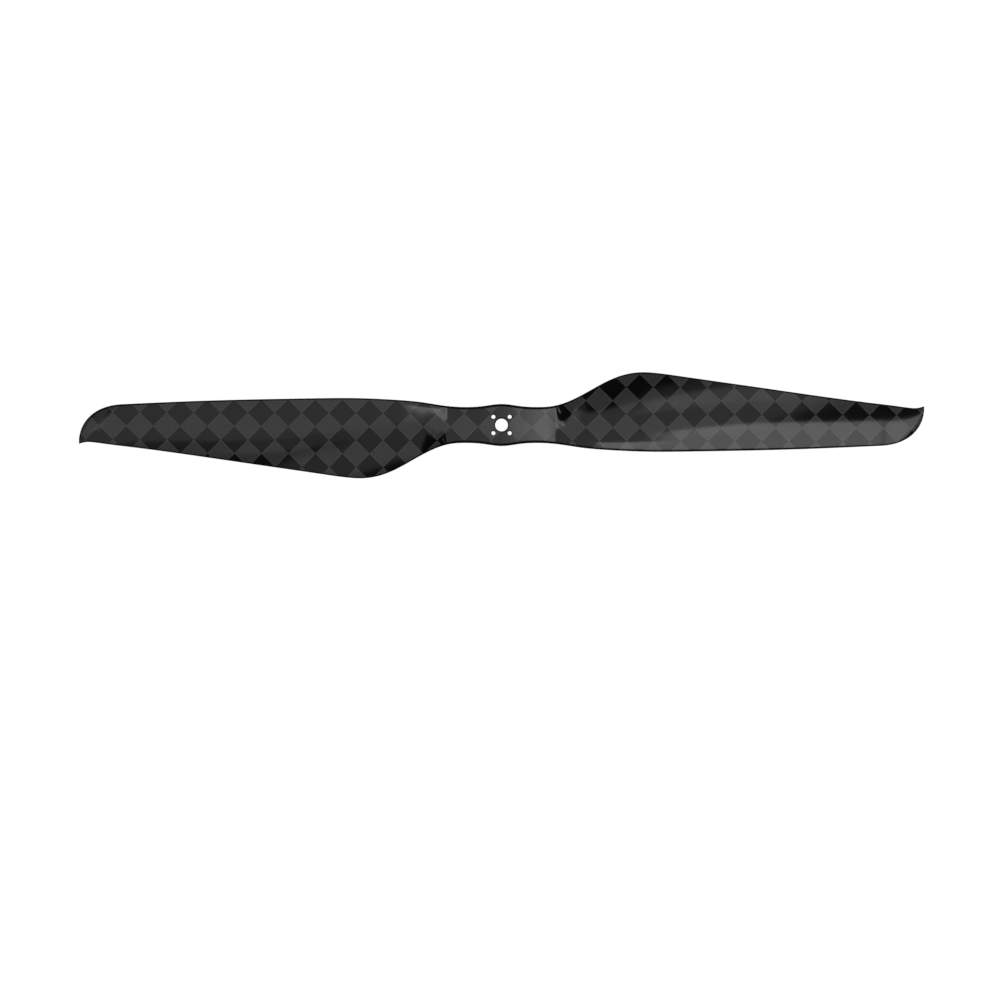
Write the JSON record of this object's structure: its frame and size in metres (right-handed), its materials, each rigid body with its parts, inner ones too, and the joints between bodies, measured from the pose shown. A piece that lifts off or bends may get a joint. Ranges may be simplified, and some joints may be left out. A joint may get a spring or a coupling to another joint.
{
  "type": "two-blade multirotor propeller",
  "caption": "Rigid carbon propeller with a flat drilled hub, wide-root tapering blades and swept-back tips, for a multirotor's outrunner motor.",
  "frame": {"origin": "centre of the shaft bore on the hub face that sits on the motor", "axes": "+Z along the shaft, away from the motor and the way the propeller pushes; +X along one blade"},
  "size_m": [0.66, 0.083, 0.0219],
  "materials": {
    "spread_tow_carbon": "spread-tow carbon cloth in a 45 degree check, under clear satin-gloss resin",
    "edge_resin": "black resin and carbon tow, trimmed and sanded satin",
    "straight_fibre_carbon": "straight-fibre carbon tape, peel-ply matte",
    "pressed_laminate": "pressed carbon laminate, machined matte",
    "core_foam": "closed-cell rigid foam, cream, fine open grain where cut",
    "filled_resin": "dark grey resin thickened with chopped fibre"
  },
  "bodies": {
    "root": {"upper_skin": "spread_tow_carbon", "lower_skin": "spread_tow_carbon", "leading_edge_right": "edge_resin", "leading_edge_left": "edge_resin", "trailing_edge_right": "edge_resin", "trailing_edge_left": "edge_resin", "upper_spar_cap": "straight_fibre_carbon", "lower_spar_cap": "straight_fibre_carbon", "upper_hub_doubler": "straight_fibre_carbon", "lower_hub_doubler": "straight_fibre_carbon", "hub_block": "pressed_laminate", "foam_core_right": "core_foam", "foam_core_left": "core_foam", "tip_filler_right": "filled_resin", "tip_filler_left": "filled_resin"}
  },
  "joints": []
}
